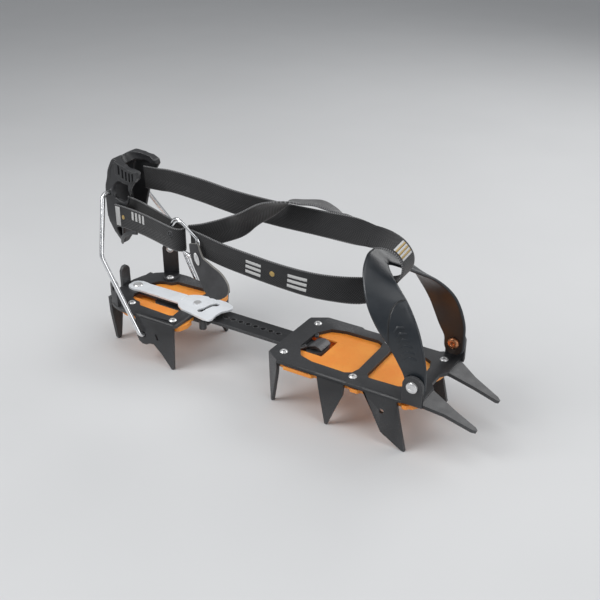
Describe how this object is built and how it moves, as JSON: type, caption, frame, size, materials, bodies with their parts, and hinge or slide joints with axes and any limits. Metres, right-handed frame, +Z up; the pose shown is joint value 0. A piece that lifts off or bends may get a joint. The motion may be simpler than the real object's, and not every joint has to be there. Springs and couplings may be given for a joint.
{
  "type": "crampon",
  "caption": "Boot crampon with toothed toe and heel frames joined by a sliding bar, a strapped toe bail, and a wire heel bail with a clamping lever.",
  "frame": {"origin": "centre of the bounding box at the plane the points stand on, measured without the free webbing", "axes": "+X towards the toe, +Y towards the wearer's left, +Z up"},
  "size_m": [0.3472, 0.0948, 0.1665],
  "materials": {
    "black_steel": "satin black powder coat over pressed steel",
    "orange_plastic": "moulded, slightly translucent orange",
    "bright_steel": "bright brushed",
    "copper_rivet": "copper-coloured",
    "brass": "polished",
    "black_plastic": "satin moulded",
    "white_label": null,
    "black_leather": "smooth coated tab",
    "webbing": "twill webbing"
  },
  "bodies": {
    "forefoot": {"front_frame": "black_steel", "front_antiball_plate": "orange_plastic", "front_frame_screws": "bright_steel", "toe_rivet_right": "bright_steel", "toe_rivet_left": "copper_rivet", "strap_upper": "webbing", "strap_toe_loop": "webbing", "strap_lower": "webbing", "strap_tail": "webbing"},
    "bar": {"linking_bar": "black_steel"},
    "heel": {"heel_frame": "black_steel", "heel_antiball_plate": "orange_plastic", "heel_antiball_trough": "orange_plastic", "bar_guide": "black_steel", "heel_frame_screws": "bright_steel", "heel_post": "black_steel", "adjust_lever_arm": "bright_steel", "adjust_lever_rivet": "bright_steel"},
    "pin_head": {"adjust_lever_head": "bright_steel", "locking_pin": "bright_steel"},
    "bail": {"heel_bail_wire": "bright_steel"},
    "lever": {"heel_lever": "black_plastic", "heel_lever_grip": "black_plastic", "heel_lever_label": "white_label", "strap_short": "webbing", "strap_stud": "brass"},
    "buckle": {"buckle_ring_inner": "bright_steel", "buckle_ring_outer": "bright_steel"},
    "tab": {"buckle_pad": "black_leather", "buckle_pad_rivet": "bright_steel"},
    "toe": {"toe_bail": "black_plastic"}
  },
  "joints": [
    {"name": "bar_flex", "type": "hinge", "parent": "forefoot", "child": "bar", "pos_m": [0.0095, 0, 0.0387], "axis": [0, 1, 0], "range_deg": [-4, 4]},
    {"name": "length_slide", "type": "slide", "parent": "bar", "child": "heel", "axis": [1, 0, 0], "range_m": [-0.03, 0.06]},
    {"name": "pin_lift", "type": "hinge", "parent": "heel", "child": "pin_head", "pos_m": [-0.1085, 0, 0.04585], "axis": [0, -1, 0], "range_deg": [0, 12], "stiffness_Nm_per_rad": 2},
    {"name": "heel_bail_swing", "type": "hinge", "parent": "heel", "child": "bail", "pos_m": [-0.121, 0, 0.026], "axis": [0, 1, 0], "range_deg": [-45, 12]},
    {"name": "heel_lever_tilt", "type": "hinge", "parent": "bail", "child": "lever", "pos_m": [-0.169, 0, 0.1365], "axis": [0, 1, 0], "range_deg": [-100, 5], "deforming": ["strap_short"]},
    {"name": "ring_swing", "type": "hinge", "parent": "lever", "child": "buckle", "pos_m": [-0.0975, -0.0232, 0.1245], "axis": [0.5, 0, 0.866], "range_deg": [-70, 0]},
    {"name": "tab_swing", "type": "hinge", "parent": "buckle", "child": "tab", "pos_m": [-0.0695, -0.0294, 0.1185], "axis": [0.9429, 0, 0.333], "range_deg": [-60, 0]},
    {"name": "toe_bail_swing", "type": "hinge", "parent": "forefoot", "child": "toe", "pos_m": [0.1285, 0, 0.058], "axis": [0, 1, 0], "range_deg": [-25, 60], "deforming": ["strap_upper", "strap_toe_loop", "strap_lower", "strap_tail"]}
  ]
}
